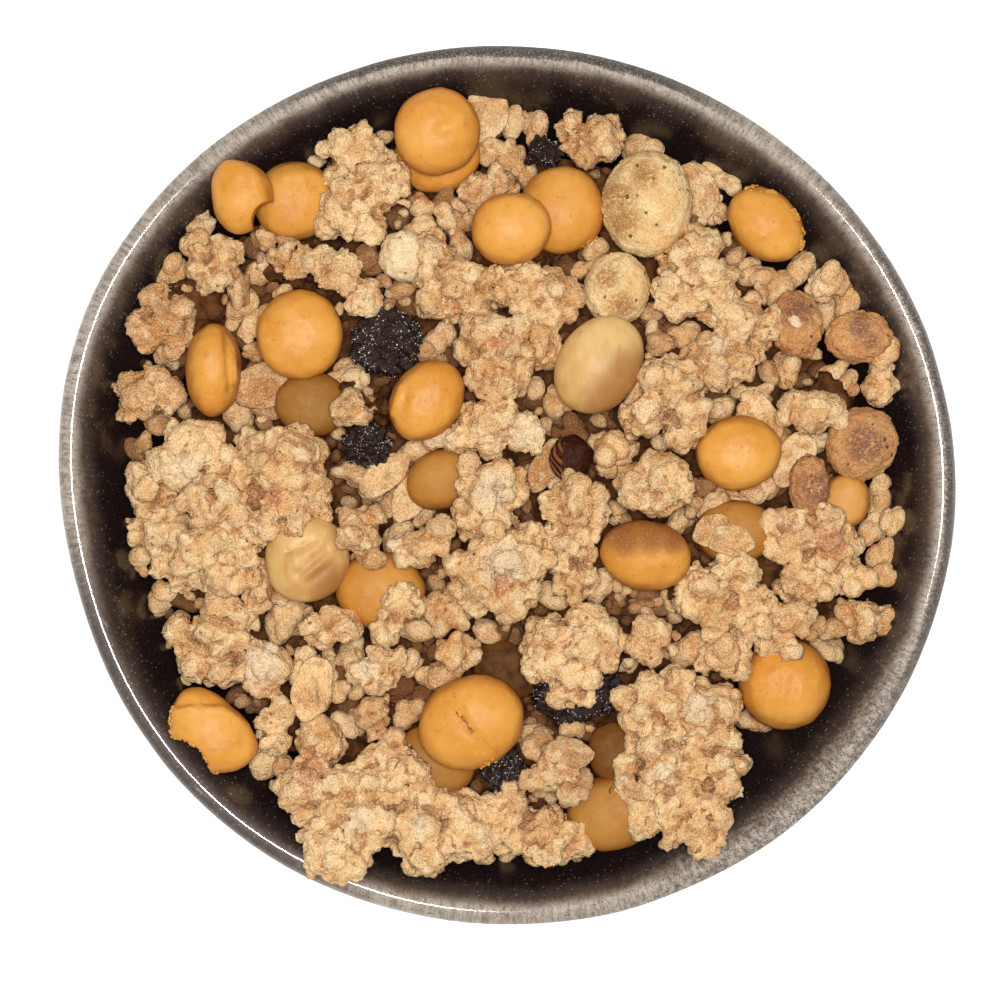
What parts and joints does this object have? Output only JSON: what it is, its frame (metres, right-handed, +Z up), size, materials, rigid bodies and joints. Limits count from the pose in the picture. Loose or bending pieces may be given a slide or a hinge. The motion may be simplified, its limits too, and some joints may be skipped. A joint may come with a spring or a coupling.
{
  "type": "bowl of granola",
  "caption": "Dark glazed stoneware bowl with a worn pale rim, heaped with baked oat clusters, caramel-coated drops, nuts, puffs and dried berries.",
  "frame": {"origin": "on the surface the bowl stands on, under the middle of its foot", "axes": "+Z up out of the bowl; +Y towards the top of the picture, +X towards its right"},
  "size_m": [0.1348, 0.132, 0.07],
  "materials": {
    "glaze": "dark brown-black stoneware glaze that breaks to a streaked grey cream at the rim, bare clay at the foot",
    "granola": "loose toasted granola crumbs, dry and rough",
    "caramel": "satin caramel-coloured coating",
    "nut": "smooth pale nut, slightly waxy",
    "puff": "pale porous puffed grain, dry",
    "toasted": "toasted brown granular puff, dry",
    "berry": "wrinkled black-purple dried berry with sugar glints",
    "seed": "brown ridged seed, slightly waxy",
    "baked_oats": "baked oat cluster, beige with browner hollows, dry and rough"
  },
  "bodies": {
    "root": {"bowl": "glaze", "granola_heap": "granola", "drop_01": "caramel", "drop_02": "caramel", "drop_03": "caramel", "drop_04": "caramel", "drop_05": "caramel", "drop_06": "caramel", "drop_07": "caramel", "drop_08": "caramel", "drop_09": "caramel", "drop_10": "caramel", "drop_11": "caramel", "drop_12": "caramel", "drop_13": "caramel", "drop_14": "caramel", "drop_15": "caramel", "drop_16": "caramel", "drop_17": "caramel", "drop_18": "caramel", "drop_19": "caramel", "drop_20": "caramel", "drop_21": "caramel", "drop_22": "caramel", "drop_23": "caramel", "drop_24": "caramel", "nut_01": "nut", "nut_02": "nut", "pale_puff_01": "puff", "pale_puff_02": "puff", "pale_puff_03": "puff", "toasted_puff_01": "toasted", "toasted_puff_02": "toasted", "toasted_puff_03": "toasted", "toasted_puff_04": "toasted", "berry_01": "berry", "berry_02": "berry", "berry_03": "berry", "berry_04": "berry", "berry_05": "berry", "seed_01": "seed", "cluster_01": "baked_oats", "cluster_02": "baked_oats", "cluster_03": "baked_oats", "cluster_04": "baked_oats", "cluster_05": "baked_oats", "cluster_06": "baked_oats", "cluster_07": "baked_oats", "cluster_08": "baked_oats", "cluster_09": "baked_oats", "cluster_10": "baked_oats", "cluster_11": "baked_oats", "cluster_12": "baked_oats", "cluster_13": "baked_oats", "cluster_14": "baked_oats", "cluster_15": "baked_oats", "cluster_16": "baked_oats", "cluster_17": "baked_oats", "cluster_18": "baked_oats", "cluster_19": "baked_oats"}
  },
  "joints": []
}
